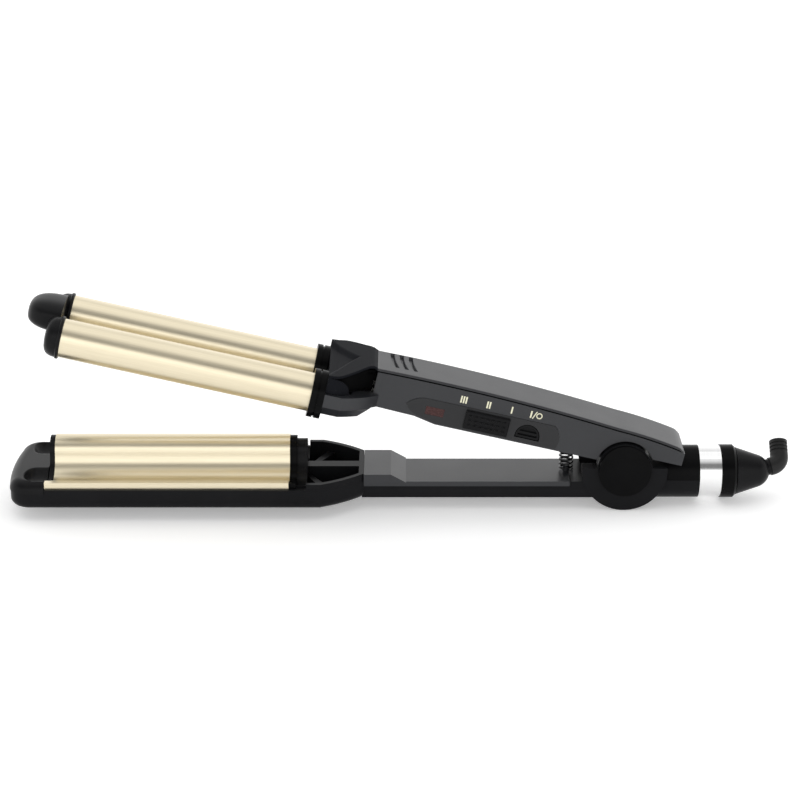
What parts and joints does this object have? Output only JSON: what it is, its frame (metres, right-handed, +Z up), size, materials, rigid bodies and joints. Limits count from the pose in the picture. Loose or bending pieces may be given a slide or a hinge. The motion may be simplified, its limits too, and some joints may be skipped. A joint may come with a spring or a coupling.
{
  "type": "hair crimper",
  "caption": "Tong-like deep-wave hair crimper: two round heated barrels close onto a crested wave plate; sprung hinge, side controls, swivelling cord exit.",
  "frame": {"origin": "on the table plane, below the middle of the object's length and width", "axes": "+X along the level lower arm towards the cord end, +Y across the arms along the hinge axis, +Z up"},
  "size_m": [0.3887, 0.06, 0.107],
  "materials": {
    "gold_barrel": "brushed champagne gold coating",
    "gold_plate": "brushed champagne gold coating",
    "black_gloss": "glossy moulded",
    "black_satin": "satin moulded, heat-proof",
    "charcoal_satin": "satin moulded",
    "led_red": "tinted clear",
    "board_green": "solder mask",
    "ceramic": "ceramic",
    "bare_aluminium": "extruded",
    "wire_sleeve": "silicone sleeve",
    "steel": "turned",
    "silver_ring": "satin chrome",
    "black_rubber": "soft moulded"
  },
  "bodies": {
    "lower_arm": {"lower_shell": "charcoal_satin", "lower_handle_cover": "charcoal_satin", "lower_screws": "steel", "neck_frame": "charcoal_satin", "wave_plate": "gold_plate", "crest_end_cap": "black_satin", "plate_root_collar": "black_gloss", "plate_holder": "black_satin", "lower_tip_cap": "black_satin", "lower_heater": "ceramic", "lower_heater_clamp": "bare_aluminium", "thermostat": "ceramic", "lower_wires": "wire_sleeve", "pivot_pin": "steel", "pivot_cap_front": "black_gloss", "pivot_cap_rear": "black_gloss", "hinge_washers": "steel", "opening_spring": "steel", "rear_cover": "black_gloss", "trim_ring": "silver_ring", "rear_collar": "black_gloss", "rear_sleeve": "black_satin", "terminal_block": "ceramic"},
    "upper_arm": {"barrel_front": "gold_barrel", "barrel_rear": "gold_barrel", "barrel_collar_front": "black_gloss", "barrel_collar_rear": "black_gloss", "barrel_heater_front": "ceramic", "barrel_heater_rear": "ceramic", "barrel_clamp_front": "bare_aluminium", "barrel_clamp_rear": "bare_aluminium", "upper_tip_cap": "black_satin", "upper_cover": "charcoal_satin", "upper_shell": "charcoal_satin", "barrel_mount": "black_satin", "control_panel": "black_satin", "led_window": "led_red", "circuit_board": "board_green", "slide_switch": "black_satin", "push_switch": "black_satin", "status_led": "led_red", "thermal_fuse": "ceramic", "upper_wires": "wire_sleeve", "upper_screws": "steel"},
    "slider": {"heat_slider": "black_satin"},
    "button": {"power_button": "black_satin"},
    "cord_swivel": {"swivel_elbow": "black_satin", "strain_relief": "black_rubber"}
  },
  "joints": [
    {"name": "main_pivot", "type": "hinge", "parent": "lower_arm", "child": "upper_arm", "pos_m": [0.11045, 0, 0.0212], "axis": [0, 1, 0], "range_deg": [-13.1, 0], "stiffness_Nm_per_rad": 1, "springref_deg": 34.38, "deforming": ["opening_spring"]},
    {"name": "heat_select", "type": "slide", "parent": "upper_arm", "child": "slider", "axis": [0.974, 0, -0.2267], "range_m": [-0.004, 0.004]},
    {"name": "power_press", "type": "slide", "parent": "upper_arm", "child": "button", "axis": [0, 1, 0], "range_m": [0, 0.0012], "stiffness_N_per_m": 800, "springref_m": -0.0005},
    {"name": "cord_turn", "type": "hinge", "parent": "lower_arm", "child": "cord_swivel", "pos_m": [0.16725, 0, 0.0146], "axis": [1, 0, 0], "continuous": true}
  ]
}
